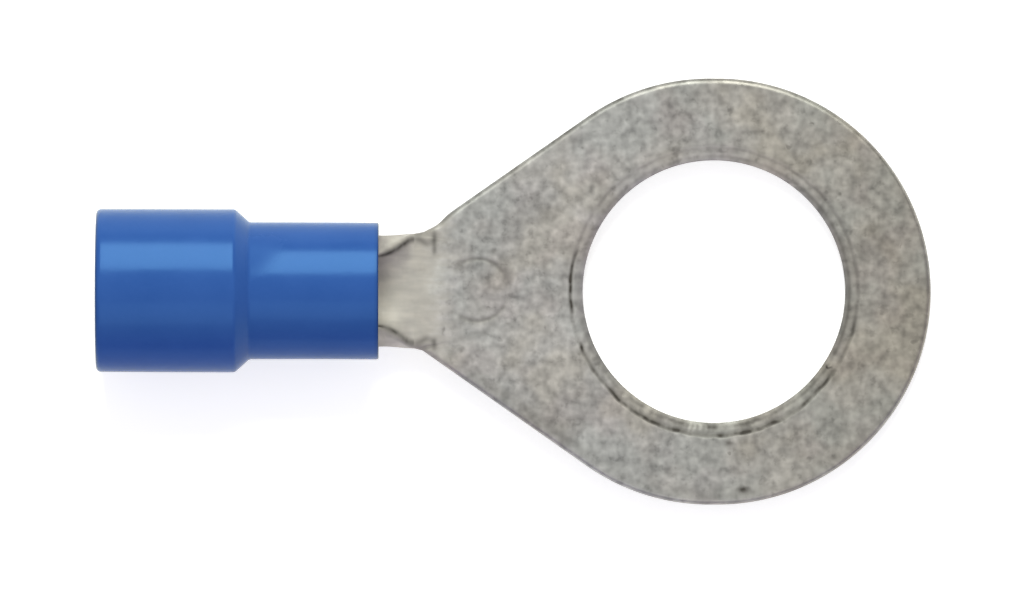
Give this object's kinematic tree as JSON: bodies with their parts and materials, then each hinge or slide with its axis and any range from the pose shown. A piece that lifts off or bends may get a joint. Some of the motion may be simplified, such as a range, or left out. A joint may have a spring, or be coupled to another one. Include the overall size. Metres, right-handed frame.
{
  "type": "insulated ring cable lug",
  "caption": "Insulated ring lug: a flat tinned copper ring tongue that curls into a crimp barrel, with a stepped blue vinyl sleeve over the barrel.",
  "frame": {"origin": "on the stud hole's axis, at the underside of the ring tongue", "axes": "+X runs along the lug from the wire entry to the tip of the ring, +Z is square to the tongue on the side that the barrel's seam faces, +Y lies across the tongue"},
  "size_m": [0.0334, 0.017, 0.0065],
  "materials": {
    "tinned_copper": "copper strip with a matt, finely speckled tin plating",
    "blue_vinyl": "semi-gloss moulded vinyl, mid blue"
  },
  "bodies": {
    "root": {"ring_terminal": "tinned_copper", "insulating_sleeve": "blue_vinyl"}
  },
  "joints": []
}
